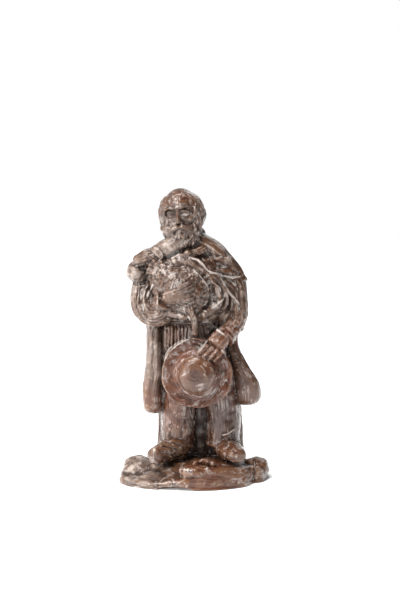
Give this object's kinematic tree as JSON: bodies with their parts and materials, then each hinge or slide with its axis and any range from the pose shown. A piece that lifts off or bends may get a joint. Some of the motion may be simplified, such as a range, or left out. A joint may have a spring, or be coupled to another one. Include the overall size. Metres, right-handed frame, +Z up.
{
  "type": "peasant figurine",
  "caption": "Standing terracotta figurine of an old bearded peasant in a cloak, holding a lamb and a round hat, on a rocky base.",
  "frame": {"origin": "middle of the underside of the rocky base, on the surface it stands on", "axes": "+Z up, the figure faces -Y, +X towards the figure's left hand, which holds the hat"},
  "size_m": [0.122, 0.084, 0.2319],
  "materials": {
    "terracotta": "fired brown terracotta under a shiny brown varnish, with pale dust in the creases"
  },
  "bodies": {
    "root": {"peasant_figurine": "terracotta"}
  },
  "joints": []
}
